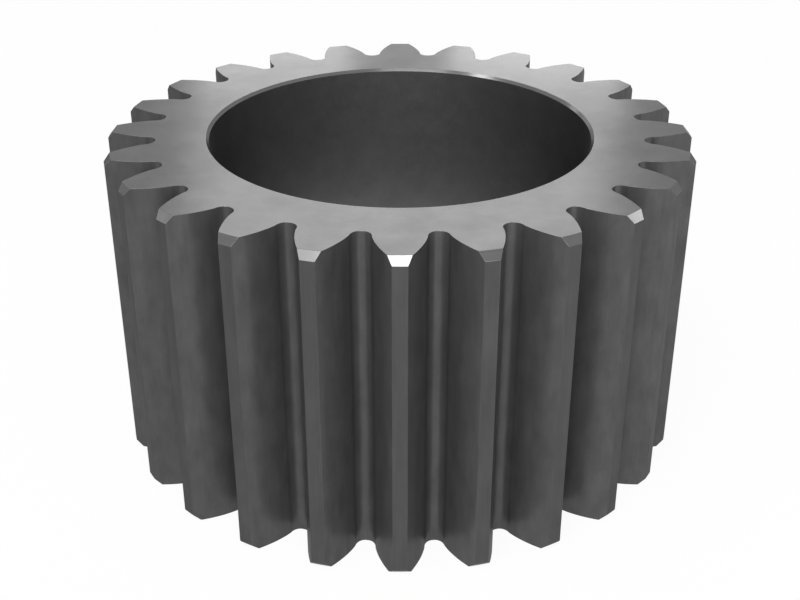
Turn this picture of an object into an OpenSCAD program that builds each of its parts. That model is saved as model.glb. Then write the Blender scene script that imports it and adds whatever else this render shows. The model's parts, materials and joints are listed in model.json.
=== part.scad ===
// Planet gear: a straight-toothed spur gear in one piece, bored right through.
// The bore axis is Z, the lower end face lies on z = 0, and one tooth points along -Y.
// The blank is turned, and each space between two teeth is then cut in the form that
// a rack-shaped cutter leaves: involute flanks that run into a rounded root.

/* [Teeth] */
// Number of teeth
teeth = 24; // [22:1:36]
// Module: the pitch diameter divided by the number of teeth
tooth_module = 5; // [4.5:0.25:8]
// Pressure angle of the cutter, in degrees
pressure_angle = 20; // [20:0.5:24]
// Profile shift: how far the cutter is drawn out of the blank, in modules
profile_shift = 0.58; // [0.3:0.02:0.7]
// Height of the tooth tip above the shifted pitch line, in modules
tip_height = 0.9; // [0.7:0.05:1]
// Depth of the cutter below its own pitch line, in modules
cutter_depth = 1.38; // [1.2:0.02:1.44]
// Radius of the cutter's tip corners, in modules, which rounds the tooth root
cutter_corner = 0.28; // [0.2:0.02:0.3]

/* [Body] */
// Width of the gear along its axis
face_width = 75.5; // [20:0.5:160]
// Diameter of the bore that the bearing rollers run in
bore_d = 87.8; // [40:0.1:98]

/* [Edges] */
// Tip chamfer at both ends of the teeth, measured along the radius
tip_chamfer_radial = 1.45; // [0.2:0.05:3]
// Tip chamfer at both ends of the teeth, measured along the axis
tip_chamfer_axial = 1.65; // [0.2:0.05:5]
// Chamfer at 45 degrees on both edges of the bore
bore_chamfer = 0.65; // [0.1:0.05:2]

/* [Hidden] */
$fn = 240;

// The two curves of a tooth space are each drawn in this many straight steps
root_steps = 7;
flank_steps = 9;
// How far the cut runs past the blank, at its ends and beyond the tooth tips
overrun = 1;

// Reference circles of the gear
pitch_r = tooth_module * teeth / 2;
base_r = pitch_r * cos(pressure_angle);
tip_r = pitch_r + tooth_module * (profile_shift + tip_height);
bore_r = bore_d / 2;

// The corner can't be rounder than the full width of the cutter's tip
full_round = (PI / 4 - cutter_depth * tan(pressure_angle))
    * cos(pressure_angle) / (1 - sin(pressure_angle));
corner = min(cutter_corner, full_round);
// Centre of the corner's arc on the cutter, in modules: sideways from the middle of the
// cutter's tooth, and down from the gear's pitch circle
corner_side = PI / 4 - (cutter_depth - corner) * tan(pressure_angle)
    - corner / cos(pressure_angle);
corner_down = cutter_depth - corner - profile_shift;

// Involute function, in degrees
function involute(angle) = tan(angle) * 180 / PI - angle;

// Half of a tooth's angle at the base circle, in degrees
base_half_angle = 90 / teeth + 360 / PI * profile_shift * tan(pressure_angle) / teeth
    + involute(pressure_angle);

// Half of a space's angle on the flank at radius r, in degrees
function space_half_angle(r) =
    180 / teeth - base_half_angle + involute(acos(base_r / r));

// Point at radius r and this angle
function polar(r, angle) = r * [cos(angle), sin(angle)];

// Root curve: where the cutter's corner arc touches it when their common normal leans
// this many degrees from the pitch line, 90 at the deepest point of the space
function root_point(lean) =
    let (
        travel = corner_down / tan(lean),
        roll = (travel - corner_side) / (teeth / 2) * 180 / PI,
        across = travel + corner * cos(lean),
        up = teeth / 2 - corner_down - corner * sin(lean)
    )
    tooth_module * [
        up * cos(roll) + across * sin(roll),
        across * cos(roll) - up * sin(roll)
    ];

// One half of a space, from the middle of its root out past the tip circle
root_curve = [
    for (i = [0 : root_steps])
        root_point(90 - (90 - pressure_angle) * i / root_steps)
];
flank_start_r = norm(root_curve[root_steps]);
flank_curve = [
    for (i = [1 : flank_steps])
        let (r = flank_start_r + (tip_r + overrun - flank_start_r) * i / flank_steps)
        polar(r, space_half_angle(r))
];
half_space = concat(root_curve, flank_curve);

function mirrored(points) =
    [for (i = [len(points) - 1 : -1 : 0]) [points[i][0], -points[i][1]]];

// Outline of the space between two teeth, centred on the X axis
module tooth_space() {
    outer_point = [(tip_r + overrun) / cos(180 / teeth), 0];
    polygon(concat(half_space, [outer_point], mirrored(half_space)));
}

// Turned blank: a ring with its bore and both ends' chamfers
module blank() {
    rotate_extrude()
        polygon([
            [bore_r + bore_chamfer, 0],
            [tip_r - tip_chamfer_radial, 0],
            [tip_r, tip_chamfer_axial],
            [tip_r, face_width - tip_chamfer_axial],
            [tip_r - tip_chamfer_radial, face_width],
            [bore_r + bore_chamfer, face_width],
            [bore_r, face_width - bore_chamfer],
            [bore_r, bore_chamfer]
        ]);
}

module planet_gear() {
    color("dimgray")
    difference() {
        blank();
        for (i = [0 : teeth - 1])
            rotate((i + 0.5) * 360 / teeth - 90)
            translate([0, 0, -overrun])
                linear_extrude(face_width + 2 * overrun)
                    tooth_space();
    }
}

planet_gear();
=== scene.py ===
"""Planet gear: the visible gear, its steel, and the studio that it stands in.

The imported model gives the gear's outer box, bore and frame. A Geometry Nodes tree makes one
tooth and its share of the ring from the same tooth sizes, repeats it round the axis, and
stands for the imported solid. Lengths are in metres, +Z is up along the bore, and one tooth
points along -Y, towards the camera.
"""
import json
import math

import bpy
from bpy.props import FloatProperty, FloatVectorProperty, IntProperty, PointerProperty
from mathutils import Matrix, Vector


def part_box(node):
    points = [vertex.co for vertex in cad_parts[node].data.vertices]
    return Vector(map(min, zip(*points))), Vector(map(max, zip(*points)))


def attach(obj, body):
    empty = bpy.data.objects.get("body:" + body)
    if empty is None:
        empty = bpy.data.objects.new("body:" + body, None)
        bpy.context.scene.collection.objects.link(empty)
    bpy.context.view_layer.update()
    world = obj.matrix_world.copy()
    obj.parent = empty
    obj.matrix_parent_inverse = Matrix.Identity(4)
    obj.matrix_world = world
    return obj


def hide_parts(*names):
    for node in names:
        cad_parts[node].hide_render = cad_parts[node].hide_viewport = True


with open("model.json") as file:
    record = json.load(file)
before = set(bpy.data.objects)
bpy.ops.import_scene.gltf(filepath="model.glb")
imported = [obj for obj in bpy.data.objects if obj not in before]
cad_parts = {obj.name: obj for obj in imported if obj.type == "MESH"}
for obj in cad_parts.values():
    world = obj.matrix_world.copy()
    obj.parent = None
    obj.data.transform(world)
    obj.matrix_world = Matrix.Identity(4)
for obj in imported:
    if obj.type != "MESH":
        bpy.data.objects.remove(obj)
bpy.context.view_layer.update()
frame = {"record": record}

bl_info = {
    "name": "Planet Gear",
    "version": (1, 0, 0),
    "blender": (4, 5, 0),
    "location": "3D View > Sidebar > Planet Gear",
    "description": "Builds a straight-toothed planet gear of ground steel and its studio",
    "category": "Object",
}

NODE = "planet_gear"
BODY = "root"

gear_low, gear_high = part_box(NODE)
bore_mount = next(m for m in frame["record"]["mounts"] if m["name"] == "bore")
bore_radius = bore_mount["dims"]["r_mm"] / 1000
bore_wall = bore_mount["dims"]["length_mm"] / 1000
face_width = gear_high.z - gear_low.z

# Steps in which the tree draws each stretch of half a tooth space
ROOT_STEPS = 20
FLANK_STEPS = 12
LAND_STEPS = 3
# Points on the section of the blank, from the outer wall to the bore, for one end, and how
# many of them, from the outer wall, follow the outline of the teeth
SECTION_POINTS = 7
OUTLINE_POINTS = 4
# An edge between faces that turn more than this stays sharp
SHARP_ANGLE = math.radians(7)
# Vertices closer than this are one
WELD = 1e-6

# How near a face is to count as the bore, as a share of the bore chamfer past its wall, and as
# a tooth tip, as a share of the edge break below the tip radius
BORE_MARGIN = 0.2
TIP_MARGIN = 0.25

# Most of a noise pattern lies between these
NOISE_RANGE = {"From Min": 0.3, "From Max": 0.7}
# How far the tool marks make the roughness vary
ROUGHNESS_SPREAD = 0.02
# The steel's highlight at a glancing angle, half as bright as that of clean metal
OILED_EDGE = (0.5, 0.5, 0.5, 1.0)

MATH = "ShaderNodeMath"
VECTOR = "ShaderNodeVectorMath"


def linear(hex_colour):
    """An sRGB hex colour as linear red, green, blue and alpha."""
    channels = [int(hex_colour[i : i + 2], 16) / 255 for i in (0, 2, 4)]
    return tuple(
        c / 12.92 if c <= 0.04045 else ((c + 0.055) / 1.055) ** 2.4 for c in channels
    ) + (1.0,)


def add(tree, kind, inputs=(), **settings):
    """One new node. inputs is a list or a dict of constants, nodes and output sockets."""
    node = tree.nodes.new(kind)
    for name, value in settings.items():
        setattr(node, name, value)
    for key, value in inputs.items() if isinstance(inputs, dict) else enumerate(inputs):
        if isinstance(value, bpy.types.Node):
            value = value.outputs[0]
        if isinstance(value, bpy.types.NodeSocket):
            tree.links.new(value, node.inputs[key])
        elif value is not None:
            node.inputs[key].default_value = value
    return node


class GearSizes(bpy.types.PropertyGroup):
    """Sizes of the gear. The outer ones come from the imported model."""

    teeth: IntProperty(name="Teeth", description="Number of teeth", default=24, min=12)
    tooth_module: FloatProperty(
        name="Module",
        description="Pitch diameter divided by the number of teeth",
        default=0.005,
        unit="LENGTH",
    )
    pressure_angle: FloatProperty(
        name="Pressure angle",
        description="Slope of the cutter's flanks",
        default=math.radians(20),
        subtype="ANGLE",
    )
    profile_shift: FloatProperty(
        name="Profile shift",
        description="How far the cutter is drawn out of the blank, in modules",
        default=0.58,
    )
    cutter_depth: FloatProperty(
        name="Cutter depth",
        description="Depth of the cutter below its own pitch line, in modules",
        default=1.40,
    )
    cutter_corner: FloatProperty(
        name="Cutter corner",
        description="Radius of the cutter's tip corners, in modules",
        default=0.37,
    )
    undercut: FloatProperty(
        name="Undercut",
        description="How far the cutter's corners bulge into the tooth, to clear the grinding",
        default=0.00006,
        unit="LENGTH",
    )
    root_end: FloatProperty(
        name="Root end",
        description="Lean of the root curve where it meets the flank, for this undercut",
        default=math.radians(14.5),
        subtype="ANGLE",
    )
    tip_radius: FloatProperty(
        name="Tip radius",
        description="Radius of the tooth tips",
        default=(gear_high.x - gear_low.x) / 2,
        unit="LENGTH",
    )
    width: FloatProperty(
        name="Face width",
        description="Width of the gear along its axis",
        default=face_width,
        unit="LENGTH",
    )
    bore_radius: FloatProperty(
        name="Bore radius",
        description="Radius of the bore's wall",
        default=bore_radius,
        unit="LENGTH",
    )
    bore_chamfer: FloatProperty(
        name="Bore chamfer",
        description="Chamfer at 45 degrees on the bore's edges",
        default=(face_width - bore_wall) / 2,
        unit="LENGTH",
    )
    tip_chamfer_radial: FloatProperty(
        name="Tip chamfer, radial",
        description="Chamfer of the tooth tips at both ends, along the radius",
        default=0.00145,
        unit="LENGTH",
    )
    tip_chamfer_axial: FloatProperty(
        name="Tip chamfer, axial",
        description="Chamfer of the tooth tips at both ends, along the axis",
        default=0.00165,
        unit="LENGTH",
    )
    edge_break: FloatProperty(
        name="Edge break",
        description="Width of the small bevel that deburring leaves round the teeth",
        default=0.00003,
        unit="LENGTH",
    )


class GearLook(bpy.types.PropertyGroup):
    """Colours of the gear and of its studio."""

    steel: FloatVectorProperty(
        name="Steel",
        description="Colour of the hardened and ground steel",
        default=linear("636363")[:3],
        size=3,
        subtype="COLOR",
        min=0,
        max=1,
    )
    # Painted light: the bore's steel is painted brighter than the teeth's, to light up the shaded bore
    bore_steel_painted_lighter: FloatVectorProperty(
        name="Bore steel",
        description="Colour of the honed bore, which is brighter bare metal",
        default=linear("969696")[:3],
        size=3,
        subtype="COLOR",
        min=0,
        max=1,
    )
    floor: FloatVectorProperty(
        name="Floor",
        description="Colour of the studio floor",
        default=linear("e6e6e6")[:3],
        size=3,
        subtype="COLOR",
        min=0,
        max=1,
    )


TREE_INPUTS = (
    ("Teeth", "NodeSocketInt", "teeth"),
    ("Module", "NodeSocketFloat", "tooth_module"),
    ("Pressure Angle", "NodeSocketFloat", "pressure_angle"),
    ("Profile Shift", "NodeSocketFloat", "profile_shift"),
    ("Cutter Depth", "NodeSocketFloat", "cutter_depth"),
    ("Cutter Corner", "NodeSocketFloat", "cutter_corner"),
    ("Undercut", "NodeSocketFloat", "undercut"),
    ("Root End", "NodeSocketFloat", "root_end"),
    ("Tip Radius", "NodeSocketFloat", "tip_radius"),
    ("Face Width", "NodeSocketFloat", "width"),
    ("Bore Radius", "NodeSocketFloat", "bore_radius"),
    ("Bore Chamfer", "NodeSocketFloat", "bore_chamfer"),
    ("Tip Chamfer Radial", "NodeSocketFloat", "tip_chamfer_radial"),
    ("Tip Chamfer Axial", "NodeSocketFloat", "tip_chamfer_axial"),
    ("Edge Break", "NodeSocketFloat", "edge_break"),
)


def blank_section(tree, size, point):
    """Radius and depth below the end face of each point on one half of the blank's section."""
    tip, bore, edge = size["Tip Radius"], size["Bore Radius"], size["Edge Break"]
    radial, axial = size["Tip Chamfer Radial"], size["Tip Chamfer Axial"]
    chamfer = size["Bore Chamfer"]
    slope = add(tree, MATH, [radial, axial], operation="DIVIDE")
    eased = add(tree, MATH, [edge, slope], operation="MULTIPLY")
    slant = add(tree, MATH, [edge, math.sqrt(0.5)], operation="MULTIPLY")
    cone_top = add(tree, MATH, [tip, radial], operation="SUBTRACT")
    bore_rim = add(tree, MATH, [bore, chamfer], operation="ADD")
    radii = [
        tip,
        add(tree, MATH, [tip, eased], operation="SUBTRACT"),
        add(tree, MATH, [cone_top, eased], operation="ADD"),
        add(tree, MATH, [cone_top, edge], operation="SUBTRACT"),
        add(tree, MATH, [bore_rim, edge], operation="ADD"),
        add(tree, MATH, [bore_rim, slant], operation="SUBTRACT"),
        bore,
    ]
    depths = [
        add(tree, MATH, [axial, edge], operation="ADD"),
        add(tree, MATH, [axial, edge], operation="SUBTRACT"),
        edge,
        0.0,
        0.0,
        slant,
        chamfer,
    ]
    tables = []
    for values in (radii, depths):
        table = tree.nodes.new("GeometryNodeIndexSwitch")
        table.data_type = "FLOAT"
        while len(table.index_switch_items) < SECTION_POINTS:
            table.index_switch_items.new()
        tree.links.new(point.outputs[0], table.inputs[0])
        for socket, value in zip(list(table.inputs)[1:], values):
            if isinstance(value, float):
                socket.default_value = value
            else:
                output = value.outputs[0] if isinstance(value, bpy.types.Node) else value
                tree.links.new(output, socket)
        tables.append(table)
    return tables


def tooth_outline(tree, size, step, limit, inset, half_pitch):
    """Radius and angle, from the middle of the tooth space, of each step along half of it.

    Step 0 is the middle of the root. The root curve follows, as the cutter's rounded corner
    leaves it, then the involute flank up to the limit radius, then the land of the tooth tip.
    inset moves the outline into the tooth, for the bevel round the end faces.
    """
    teeth, module, angle = size["Teeth"], size["Module"], size["Pressure Angle"]
    shift, edge = size["Profile Shift"], size["Edge Break"]

    # Reference circle, base circle, and the centre of the arc on the cutter's corner
    pitch_r = add(tree, MATH, [module, add(tree, MATH, [teeth, 2.0], operation="DIVIDE")],
                  operation="MULTIPLY")
    cos_angle = add(tree, MATH, [angle], operation="COSINE")
    tan_angle = add(tree, MATH, [angle], operation="TANGENT")
    base_r = add(tree, MATH, [pitch_r, cos_angle], operation="MULTIPLY")
    corner = add(tree, MATH, [module, size["Cutter Corner"]], operation="MULTIPLY")
    depth = add(tree, MATH, [module, size["Cutter Depth"]], operation="MULTIPLY")
    reach = add(tree, MATH, [depth, corner], operation="SUBTRACT")
    drawn = add(tree, MATH, [module, shift], operation="MULTIPLY")
    corner_down = add(tree, MATH, [reach, drawn], operation="SUBTRACT")
    rack_half = add(tree, MATH, [module, math.pi / 4], operation="MULTIPLY")
    lean_back = add(tree, MATH, [reach, tan_angle], operation="MULTIPLY")
    corner_width = add(tree, MATH, [corner, cos_angle], operation="DIVIDE")
    corner_flush = add(
        tree, MATH, [add(tree, MATH, [rack_half, lean_back], operation="SUBTRACT"), corner_width],
        operation="SUBTRACT",
    )
    corner_side = add(tree, MATH, [corner_flush, size["Undercut"]], operation="ADD")

    # Root curve: the contact normal leans from upright down to where it cuts the flank
    root_step = add(tree, MATH, [add(tree, MATH, [step, 1.0], operation="SUBTRACT"), ROOT_STEPS],
                    operation="DIVIDE", use_clamp=True)
    swing = add(tree, MATH, [size["Root End"], math.pi / 2], operation="SUBTRACT")
    lean = add(tree, MATH, [swing, root_step, math.pi / 2], operation="MULTIPLY_ADD")
    tan_lean = add(tree, MATH, [lean], operation="TANGENT")
    travel = add(tree, MATH, [corner_down, tan_lean], operation="DIVIDE")
    turned = add(tree, MATH, [travel, corner_side], operation="SUBTRACT")
    roll = add(tree, MATH, [turned, pitch_r], operation="DIVIDE")
    arc = add(tree, MATH, [corner, inset], operation="ADD")
    cos_lean = add(tree, MATH, [lean], operation="COSINE")
    sin_lean = add(tree, MATH, [lean], operation="SINE")
    across = add(tree, MATH, [arc, cos_lean, travel], operation="MULTIPLY_ADD")
    arc_drop = add(tree, MATH, [arc, sin_lean, corner_down], operation="MULTIPLY_ADD")
    up = add(tree, MATH, [pitch_r, arc_drop], operation="SUBTRACT")
    root_arm = add(tree, "ShaderNodeCombineXYZ", [across, up])
    root_r = add(tree, VECTOR, [root_arm], operation="LENGTH").outputs["Value"]
    bearing = add(tree, MATH, [across, up], operation="ARCTAN2")
    root_turn = add(tree, MATH, [bearing, roll], operation="SUBTRACT")
    off_middle = add(tree, MATH, [step, 0.5], operation="GREATER_THAN")
    root_angle = add(tree, MATH, [root_turn, off_middle], operation="MULTIPLY")

    # Flank: an involute of the base circle, from the end of the root curve to the limit
    past_root = add(tree, MATH, [step, 1.0 + ROOT_STEPS], operation="SUBTRACT")
    flank_step = add(tree, MATH, [past_root, FLANK_STEPS], operation="DIVIDE", use_clamp=True)
    flank_end = add(tree, MATH, [limit, edge], operation="SUBTRACT")
    climb = add(tree, MATH, [flank_end, root_r], operation="SUBTRACT")
    flank_r = add(tree, MATH, [climb, flank_step, root_r], operation="MULTIPLY_ADD")
    on_land = add(tree, MATH, [past_root, FLANK_STEPS + 0.5], operation="GREATER_THAN")
    outer_r = add(tree, "GeometryNodeSwitch", {"Switch": on_land, "False": flank_r, "True": limit},
                  input_type="FLOAT")
    unwound = add(
        tree, MATH, [add(tree, MATH, [base_r, outer_r], operation="DIVIDE")],
        operation="ARCCOSINE",
    )
    unwound_tan = add(tree, MATH, [unwound], operation="TANGENT")
    involute = add(tree, MATH, [unwound_tan, unwound], operation="SUBTRACT")
    wider = add(tree, MATH, [shift, tan_angle], operation="MULTIPLY")
    pitch_arc = add(tree, MATH, [wider, 2.0, math.pi / 2], operation="MULTIPLY_ADD")
    pitch_half = add(tree, MATH, [pitch_arc, teeth], operation="DIVIDE")
    start = add(tree, MATH, [tan_angle, angle], operation="SUBTRACT")
    base_half = add(tree, MATH, [pitch_half, start], operation="ADD")
    gap_at_base = add(tree, MATH, [half_pitch, base_half], operation="SUBTRACT")
    inset_turn = add(tree, MATH, [inset, base_r], operation="DIVIDE")
    gap_start = add(tree, MATH, [gap_at_base, inset_turn], operation="ADD")
    flank_angle = add(tree, MATH, [gap_start, involute], operation="ADD")

    # Land: from just past the flank's corner to the middle of the tooth
    edge_turn = add(tree, MATH, [edge, limit], operation="DIVIDE")
    land_start = add(tree, MATH, [flank_angle, edge_turn], operation="ADD")
    past_flank = add(tree, MATH, [past_root, FLANK_STEPS + 1.0], operation="SUBTRACT")
    land_step = add(tree, MATH, [past_flank, LAND_STEPS], operation="DIVIDE")
    land_span = add(tree, MATH, [half_pitch, land_start], operation="SUBTRACT")
    land_angle = add(tree, MATH, [land_span, land_step, land_start], operation="MULTIPLY_ADD")

    off_root = add(tree, MATH, [past_root, 0.5], operation="GREATER_THAN")
    tooth_angle = add(
        tree, "GeometryNodeSwitch",
        {"Switch": on_land, "False": flank_angle, "True": land_angle}, input_type="FLOAT",
    )
    radius = add(tree, "GeometryNodeSwitch",
                 {"Switch": off_root, "False": root_r, "True": outer_r}, input_type="FLOAT")
    turn = add(tree, "GeometryNodeSwitch",
               {"Switch": off_root, "False": root_angle, "True": tooth_angle}, input_type="FLOAT")
    return radius, turn


def gear_tree(end_steel, tooth_steel, tip_steel, chamfer_steel, bore_steel_painted_lighter):
    """The node tree of the gear. Its inputs are the gear's sizes."""
    tree = bpy.data.node_groups.new("planet gear", "GeometryNodeTree")
    for name, kind, _ in TREE_INPUTS:
        tree.interface.new_socket(name, in_out="INPUT", socket_type=kind)
    tree.interface.new_socket("Gear", in_out="OUTPUT", socket_type="NodeSocketGeometry")
    size = tree.nodes.new("NodeGroupInput").outputs
    half_pitch = add(tree, MATH, [math.pi, size["Teeth"]], operation="DIVIDE")

    # One sector: a flat sheet, with steps across the tooth and points round the section
    half_steps = 2 + ROOT_STEPS + FLANK_STEPS + LAND_STEPS
    loop = 2 * SECTION_POINTS
    sheet = add(tree, "GeometryNodeMeshGrid", [2.0 * half_steps, loop, 2 * half_steps + 1, loop + 1])
    place = add(tree, "ShaderNodeSeparateXYZ", [add(tree, "GeometryNodeInputPosition")])
    side = add(tree, MATH, [place.outputs["X"]], operation="ROUND")
    from_tip = add(tree, MATH, [side], operation="ABSOLUTE")
    step = add(tree, MATH, [float(half_steps), from_tip], operation="SUBTRACT")
    lifted = add(tree, MATH, [place.outputs["Y"], SECTION_POINTS], operation="ADD")
    station = add(tree, MATH, [add(tree, MATH, [lifted], operation="ROUND"), loop],
                  operation="MODULO")

    # Point on the section: out from the outer wall to the bore at the top, and back below
    back = add(tree, MATH, [loop - 1.0, station], operation="SUBTRACT")
    point = add(tree, MATH, [station, back], operation="MINIMUM")
    section_r, depth = blank_section(tree, size, point)
    below = add(tree, MATH, [station, SECTION_POINTS - 0.5], operation="GREATER_THAN")
    top = add(tree, MATH, [size["Face Width"], depth], operation="SUBTRACT")
    height = add(tree, "GeometryNodeSwitch", {"Switch": below, "False": top, "True": depth},
                 input_type="FLOAT")
    on_outline = add(tree, MATH, [point, OUTLINE_POINTS - 0.5], operation="LESS_THAN")
    at_rim = add(tree, MATH, [point, OUTLINE_POINTS - 1.0, 0.5], operation="COMPARE")
    inset = add(tree, MATH, [at_rim, size["Edge Break"]], operation="MULTIPLY")

    radius, turn = tooth_outline(tree, size, step, section_r, inset, half_pitch)
    from_middle = add(tree, MATH, [half_pitch, turn], operation="SUBTRACT")
    sign = add(tree, MATH, [side], operation="SIGN")
    tooth_turn = add(tree, MATH, [from_middle, sign], operation="MULTIPLY")
    share = add(tree, MATH, [side, float(half_steps)], operation="DIVIDE")
    even_turn = add(tree, MATH, [share, half_pitch], operation="MULTIPLY")
    arm = add(tree, "GeometryNodeSwitch",
              {"Switch": on_outline, "False": section_r, "True": radius}, input_type="FLOAT")
    swing = add(tree, "GeometryNodeSwitch",
                {"Switch": on_outline, "False": even_turn, "True": tooth_turn},
                input_type="FLOAT")
    along = add(tree, MATH, [arm, add(tree, MATH, [swing], operation="COSINE")],
                operation="MULTIPLY")
    aside = add(tree, MATH, [arm, add(tree, MATH, [swing], operation="SINE")],
                operation="MULTIPLY")
    target = add(tree, "ShaderNodeCombineXYZ", [along, aside, height])
    sector = add(tree, "GeometryNodeSetPosition", {"Geometry": sheet, "Position": target})

    # The sector is repeated round the axis, one tooth pointing along -Y, and welded
    pitch = add(tree, MATH, [half_pitch, 2.0], operation="MULTIPLY")
    turn_of_copy = add(
        tree, MATH, [add(tree, "GeometryNodeInputIndex"), pitch, -math.pi / 2],
        operation="MULTIPLY_ADD",
    )
    copies = add(tree, "GeometryNodePoints", {"Count": size["Teeth"]})
    ring = add(
        tree, "GeometryNodeInstanceOnPoints",
        {"Points": copies, "Instance": sector,
         "Rotation": add(tree, "ShaderNodeCombineXYZ", {"Z": turn_of_copy})},
    )
    solid = add(tree, "GeometryNodeRealizeInstances", {"Geometry": ring})
    welded = add(tree, "GeometryNodeMergeByDistance", {"Geometry": solid, "Distance": WELD})

    # Sharp edges where the faces turn, smooth along the flanks, root curves and bore
    fold = add(tree, "GeometryNodeInputMeshEdgeAngle").outputs["Unsigned Angle"]
    soft = add(tree, MATH, [fold, SHARP_ANGLE], operation="LESS_THAN")
    smooth_faces = add(tree, "GeometryNodeSetShadeSmooth", {"Geometry": welded, "Shade Smooth": True},
                       domain="FACE")
    shaded = add(tree, "GeometryNodeSetShadeSmooth",
                 {"Geometry": smooth_faces, "Shade Smooth": soft}, domain="EDGE")

    # Steel of the teeth first, then that of the tips, chamfers, end faces and bore over it
    normal = add(tree, "ShaderNodeSeparateXYZ", [add(tree, "GeometryNodeInputNormal")])
    level = add(tree, MATH, [normal.outputs["Z"]], operation="ABSOLUTE")
    on_end = add(tree, MATH, [level, math.cos(SHARP_ANGLE)], operation="GREATER_THAN")
    sloping = add(tree, MATH, [level, math.sin(SHARP_ANGLE)], operation="GREATER_THAN")
    flat = add(tree, VECTOR, [add(tree, "GeometryNodeInputPosition"), (1.0, 1.0, 0.0)],
               operation="MULTIPLY")
    from_axis = add(tree, VECTOR, [flat], operation="LENGTH").outputs["Value"]
    near_wall = add(tree, MATH, [size["Bore Chamfer"], BORE_MARGIN, size["Bore Radius"]],
                    operation="MULTIPLY_ADD")
    in_bore = add(tree, MATH, [from_axis, near_wall], operation="LESS_THAN")
    near_tip = add(tree, MATH, [size["Edge Break"], -TIP_MARGIN, size["Tip Radius"]],
                   operation="MULTIPLY_ADD")
    on_tip = add(tree, MATH, [from_axis, near_tip], operation="GREATER_THAN")
    shown = shaded
    for steel, where in ((tooth_steel, True), (tip_steel, on_tip), (chamfer_steel, sloping),
                         (end_steel, on_end), (bore_steel_painted_lighter, in_bore)):
        shown = add(tree, "GeometryNodeSetMaterial",
                    {"Geometry": shown, "Selection": where, "Material": steel})
    add(tree, "NodeGroupOutput", [shown])
    return tree


# Finishes of the gear's surfaces. All are one hardened and oiled alloy steel.
# tone: share of the steel's colour. cloud: size of the slow changes of tone, their depth as a
# share of the colour, and how far they are drawn out along the axis.
# ripple: size and height of the waviness, drawn higher than the real one so that it shows.
# grain: size and height of the tool marks, how far they are drawn out along each axis, and how
# much they shade the colour. It is drawn coarser than the real marks, which are a few
# hundredths of a millimetre apart and too fine to show.
FINISHES = {
    # Ground flat: the smoothest surface, with broad patches of tone and soft highlights
    "ground_steel_end_faces": {
        "tone": 1.0, "metallic": 0.65, "roughness": 0.18, "cloud": (0.008, 0.12, 1),
        "ripple": (0.006, 0.00001), "grain": (0.0005, 4e-7, (3, 1, 1), 0.01),
    },
    # Hobbed, then ground along the teeth: satin and blotchy, with fine lines from end to end
    "ground_steel_teeth": {
        "tone": 1.0, "metallic": 0.65, "roughness": 0.30, "cloud": (0.003, 0.15, 2.5),
        "ripple": (0.0025, 0.00002), "grain": (0.0004, 8e-7, (1, 1, 60), 0.04),
    },
    # Tips of the teeth: the same steel a shade darker, which is painted shade, with deeper tool marks
    "steel_tips_painted_darker": {
        "tone": 0.86, "metallic": 0.65, "roughness": 0.30, "cloud": (0.004, 0.10, 2.5),
        "ripple": (0.003, 0.00001), "grain": (0.0003, 8e-7, (1, 1, 60), 0.06),
    },
    # Turned cones: smoother than the flanks, with fine lines that run round the gear
    "turned_steel_chamfers": {
        "tone": 1.0, "metallic": 0.80, "roughness": 0.18, "cloud": (0.006, 0.08, 1),
        "ripple": (0.003, 0.00001), "grain": (0.0003, 8e-7, (60, 60, 1), 0.03),
    },
    # Honed for the rollers: bare metal that mirrors the far wall softly, its colour painted brighter
    # than the steel of the teeth, a painted light in the bore
    "honed_steel_bore_painted_lighter": {
        "tone": 1.0, "metallic": 1.0, "roughness": 0.30, "cloud": (0.005, 0.08, 1),
        "ripple": (0.006, 0.00001), "grain": (0.0006, 2e-7, (1, 1, 2), 0.02),
    },
}


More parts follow.
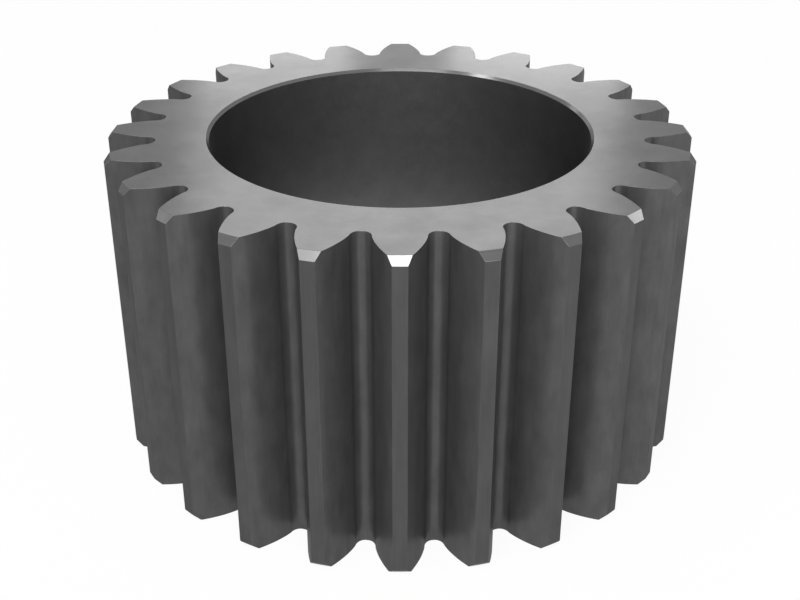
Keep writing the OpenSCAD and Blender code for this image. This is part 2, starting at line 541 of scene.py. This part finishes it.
def steel_material(name, colour):
    """Hardened alloy steel, as on a gearbox part kept under oil, with one of the finishes.

    Oil and handling leave slow clouds of tone, and machining a slight waviness. The tool leaves
    fine marks, which shade the steel and make its highlights uneven.
    """
    finish = FINISHES[name]
    metallic, roughness = finish["metallic"], finish["roughness"]
    cloud_size, cloud_depth, cloud_length = finish["cloud"]
    ripple_size, ripple_height = finish["ripple"]
    grain_size, grain_height, grain_stretch, grain_depth = finish["grain"]
    material = bpy.data.materials.new(name)
    material.use_nodes = True
    tree = material.node_tree
    tree.nodes.clear()
    coordinates = add(tree, "ShaderNodeTexCoord").outputs["Object"]
    drifted = add(tree, "ShaderNodeMapping",
                  {"Vector": coordinates, "Scale": (1, 1, 1 / cloud_length)})
    clouds = add(
        tree, "ShaderNodeTexNoise",
        {"Vector": drifted, "Scale": 1 / cloud_size, "Detail": 4.0, "Roughness": 0.6},
    )
    ripples = add(
        tree, "ShaderNodeTexNoise",
        {"Vector": coordinates, "Scale": 1 / ripple_size, "Detail": 2.0, "Roughness": 0.5},
    )
    drawn = add(tree, "ShaderNodeMapping",
                {"Vector": coordinates, "Scale": tuple(1 / s for s in grain_stretch)})
    grain = add(
        tree, "ShaderNodeTexNoise",
        {"Vector": drawn, "Scale": 1 / grain_size, "Detail": 2.0, "Roughness": 0.6},
    )
    tone = add(tree, "ShaderNodeMapRange",
               {"Value": clouds, **NOISE_RANGE,
                "To Min": 1 - cloud_depth, "To Max": 1 + cloud_depth})
    marks = add(tree, "ShaderNodeMapRange",
                {"Value": grain, **NOISE_RANGE,
                 "To Min": 1 - grain_depth, "To Max": 1 + grain_depth})
    marked = add(tree, MATH, [tone, marks], operation="MULTIPLY")
    shade = tuple(channel * finish["tone"] for channel in colour)
    colour = add(tree, VECTOR, {0: shade, "Scale": marked}, operation="SCALE")
    rough = add(tree, "ShaderNodeMapRange",
                {"Value": grain, **NOISE_RANGE,
                 "To Min": roughness - ROUGHNESS_SPREAD, "To Max": roughness + ROUGHNESS_SPREAD})
    wavy = add(tree, "ShaderNodeBump",
               {"Height": ripples, "Strength": 1.0, "Distance": ripple_height})
    bump = add(tree, "ShaderNodeBump",
               {"Height": grain, "Strength": 1.0, "Distance": grain_height, "Normal": wavy})
    shader = add(tree, "ShaderNodeBsdfPrincipled",
                 {"Base Color": colour, "Metallic": metallic, "Roughness": rough,
                  "Specular Tint": OILED_EDGE, "Normal": bump})
    add(tree, "ShaderNodeOutputMaterial", {"Surface": shader})
    return material


class PLANETGEAR_OT_gear(bpy.types.Operator):
    """Build the gear's mesh with its teeth and steel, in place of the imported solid"""

    bl_idname = "planetgear.gear"
    bl_label = "Build the gear"

    def execute(self, context):
        sizes = context.scene.gear_sizes
        look = context.scene.gear_look
        ends = steel_material("ground_steel_end_faces", look.steel)
        teeth = steel_material("ground_steel_teeth", look.steel)
        # The tips' steel is painted a shade darker than that of the teeth, a painted shade
        tips = steel_material("steel_tips_painted_darker", look.steel)
        chamfers = steel_material("turned_steel_chamfers", look.steel)
        # The bore's steel is painted brighter, a painted light in the shaded bore
        bore = steel_material("honed_steel_bore_painted_lighter", look.bore_steel_painted_lighter)
        tree = gear_tree(ends, teeth, tips, chamfers, bore)
        base = bpy.data.objects.new("gear_base", bpy.data.meshes.new("gear_base"))
        context.scene.collection.objects.link(base)
        modifier = base.modifiers.new("Gear", "NODES")
        modifier.node_group = tree
        for item in tree.interface.items_tree:
            for name, _, prop in TREE_INPUTS:
                if item.name == name:
                    modifier[item.identifier] = getattr(sizes, prop)
        evaluated = base.evaluated_get(context.evaluated_depsgraph_get())
        mesh = bpy.data.meshes.new_from_object(evaluated)
        base.modifiers.clear()
        bpy.data.objects.remove(base)
        mesh.name = "gear"
        gear = bpy.data.objects.new("gear", mesh)
        context.scene.collection.objects.link(gear)
        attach(gear, BODY)
        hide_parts(NODE)
        return {"FINISHED"}


# Lamps of the studio: name, azimuth from straight behind the gear and clockwise from above,
# elevation, width and height in degrees as the gear sees them, and brightness, white being 1
LAMPS = (
    ("front_softbox", -180, 27, 64, 32, 2.7),
    ("front_top_panel", -174, 56, 30, 12, 13.0),
    ("left_top_panel", -134, 53, 18, 16, 3.4),
    ("overhead_softbox", -160, 74, 24, 16, 2.0),
    ("left_high_spot", -100, 60, 8, 7, 11.0),
    ("left_box", -77, 26, 12, 12, 0.8),
    ("left_back_spot", -40, 25, 7, 7, 2.6),
    ("left_back_panel", -28, 14, 14, 14, 0.6),
    ("back_softbox", 0, 28, 22, 10, 2.4),
    ("back_left_panel", -7, 16, 8, 8, 3.7),
    ("back_right_panel", 7.6, 16, 9, 8, 4.2),
    ("back_low_panel", 0, 17, 7, 6, 0.8),
    ("right_box", 77, 26, 14, 14, 4.4),
)
LAMP_DISTANCE = 1.5
# Half the floor's side
FLOOR_HALF = 4.0
# Painted light on the floor: its brightness as the steel reflects it, on the left and right, and how
# far from the axis it reaches these. It glows brighter towards the right, a painted pool of light
PAINTED_FLOOR_LIGHT_LEFT, PAINTED_FLOOR_LIGHT_RIGHT = 0.28, 0.54
PAINTED_FLOOR_LIGHT_REACH = 0.13
# The share of the floor's white that shadows take
SHADOW_SHARE = 0.07
# Brightness of the surroundings to every ray but those that see or mirror them
WORLD_FILL = 0.5
# Power that gives an area lamp of one square metre a brightness of 1
WATTS_FOR_WHITE = math.pi
# The camera: its distance from the point it aims at on the axis, that point's height, its
# elevation, and its lens and film width in millimetres
CAMERA_DISTANCE = 0.3156
CAMERA_AIM = 0.03044
CAMERA_ELEVATION = math.radians(28.36)
CAMERA_LENS = 57.23
FILM_WIDTH = 36.0
NEAR_CLIP = 0.01


class PLANETGEAR_OT_stage(bpy.types.Operator):
    """Build the pale floor, the white surroundings, the lamps and the camera"""

    bl_idname = "planetgear.stage"
    bl_label = "Build the studio"

    def execute(self, context):
        scene = context.scene
        middle = Vector((0, 0, face_width / 2))
        self.floor(scene)
        self.world(scene)
        for settings in LAMPS:
            self.lamp(scene, middle, *settings)
        self.camera(scene)
        scene.view_settings.view_transform = "Standard"
        return {"FINISHED"}

    def floor(self, scene):
        """A pale floor, white to the camera but for a soft shadow, and light grey in the steel, painted
        brighter towards the right.
        """
        mesh = bpy.data.meshes.new("studio_floor")
        corners = [(x * FLOOR_HALF, y * FLOOR_HALF, 0) for x, y in ((-1, -1), (1, -1), (1, 1), (-1, 1))]
        mesh.from_pydata(corners, [], [(0, 1, 2, 3)])
        floor = bpy.data.objects.new("studio_floor", mesh)
        scene.collection.objects.link(floor)
        material = bpy.data.materials.new("studio_floor_paper")
        material.use_nodes = True
        tree = material.node_tree
        tree.nodes.clear()
        path = add(tree, "ShaderNodeLightPath").outputs
        paper = add(tree, "ShaderNodeBsdfDiffuse", {"Color": (*scene.gear_look.floor, 1.0)})
        coordinates = add(tree, "ShaderNodeTexCoord").outputs["Object"]
        place = add(tree, "ShaderNodeSeparateXYZ", [coordinates])
        # Painted light: in the steel's reflections the floor glows brighter towards the right
        painted_floor_light = add(tree, "ShaderNodeMapRange",
                       {"Value": place.outputs["X"], "From Min": -PAINTED_FLOOR_LIGHT_REACH,
                        "From Max": PAINTED_FLOOR_LIGHT_REACH, "To Min": PAINTED_FLOOR_LIGHT_LEFT, "To Max": PAINTED_FLOOR_LIGHT_RIGHT})
        strength = add(tree, MATH, [path["Is Camera Ray"], painted_floor_light], operation="MAXIMUM")
        glow = add(tree, "ShaderNodeEmission", {"Strength": strength})
        seen = add(tree, MATH, [path["Is Camera Ray"], path["Is Glossy Ray"]], operation="MAXIMUM")
        seen = add(tree, MATH, [seen, path["Is Transmission Ray"]], operation="MAXIMUM")
        share = add(tree, MATH, [seen, 1 - SHADOW_SHARE], operation="MULTIPLY")
        mixed = add(tree, "ShaderNodeMixShader", [share, paper, glow])
        add(tree, "ShaderNodeOutputMaterial", {"Surface": mixed})
        mesh.materials.append(material)

    def world(self, scene):
        """White to the camera and in reflections, and a soft grey fill for everything else."""
        world = bpy.data.worlds.new("studio_world")
        world.use_nodes = True
        tree = world.node_tree
        tree.nodes.clear()
        path = add(tree, "ShaderNodeLightPath").outputs
        seen = add(tree, MATH, [path["Is Camera Ray"], path["Is Glossy Ray"]], operation="MAXIMUM")
        seen = add(tree, MATH, [seen, path["Is Transmission Ray"]], operation="MAXIMUM")
        fill = add(tree, "ShaderNodeBackground", {"Strength": WORLD_FILL})
        white = add(tree, "ShaderNodeBackground", {"Color": (1, 1, 1, 1), "Strength": 1.0})
        mixed = add(tree, "ShaderNodeMixShader", [seen, fill, white])
        add(tree, "ShaderNodeOutputWorld", {"Surface": mixed})
        scene.world = world

    def lamp(self, scene, middle, name, azimuth, elevation, width, height, brightness):
        """One area lamp, turned to the gear. The camera sees it only in the steel."""
        turn, rise = math.radians(azimuth), math.radians(elevation)
        towards = Vector((math.sin(turn) * math.cos(rise), math.cos(turn) * math.cos(rise),
                          math.sin(rise)))
        data = bpy.data.lights.new(name, "AREA")
        data.shape = "RECTANGLE"
        data.size = 2 * LAMP_DISTANCE * math.tan(math.radians(width) / 2)
        data.size_y = 2 * LAMP_DISTANCE * math.tan(math.radians(height) / 2)
        data.energy = WATTS_FOR_WHITE * data.size * data.size_y * brightness
        lamp = bpy.data.objects.new(name, data)
        lamp.location = middle + towards * LAMP_DISTANCE
        lamp.rotation_euler = towards.to_track_quat("Z", "Y").to_euler()
        lamp.visible_camera = False
        scene.collection.objects.link(lamp)

    def camera(self, scene):
        """The camera at the photograph's angle, straight in front of one tooth."""
        data = bpy.data.cameras.new("camera")
        data.sensor_width = FILM_WIDTH
        data.lens = CAMERA_LENS
        data.clip_start = NEAR_CLIP
        camera = bpy.data.objects.new("camera", data)
        back = Vector((0, -math.cos(CAMERA_ELEVATION), math.sin(CAMERA_ELEVATION)))
        camera.location = Vector((0, 0, CAMERA_AIM)) + back * CAMERA_DISTANCE
        camera.rotation_euler = back.to_track_quat("Z", "Y").to_euler()
        scene.collection.objects.link(camera)
        scene.camera = camera


class PLANETGEAR_PT_panel(bpy.types.Panel):
    """Sizes, colours and the two build steps of the planet gear"""

    bl_idname = "PLANETGEAR_PT_panel"
    bl_label = "Planet Gear"
    bl_space_type = "VIEW_3D"
    bl_region_type = "UI"
    bl_category = "Planet Gear"

    def draw(self, context):
        for group in (context.scene.gear_sizes, context.scene.gear_look):
            for name in group.bl_rna.properties.keys():
                if name not in ("rna_type", "name"):
                    self.layout.prop(group, name)
        self.layout.operator(PLANETGEAR_OT_gear.bl_idname)
        self.layout.operator(PLANETGEAR_OT_stage.bl_idname)


CLASSES = (GearSizes, GearLook, PLANETGEAR_OT_gear, PLANETGEAR_OT_stage, PLANETGEAR_PT_panel)


def register():
    for cls in CLASSES:
        bpy.utils.register_class(cls)
    bpy.types.Scene.gear_sizes = PointerProperty(type=GearSizes)
    bpy.types.Scene.gear_look = PointerProperty(type=GearLook)


def unregister():
    del bpy.types.Scene.gear_look
    del bpy.types.Scene.gear_sizes
    for cls in reversed(CLASSES):
        bpy.utils.unregister_class(cls)


def main():
    register()
    bpy.ops.planetgear.gear()
    bpy.ops.planetgear.stage()


if __name__ == "__main__":
    main()
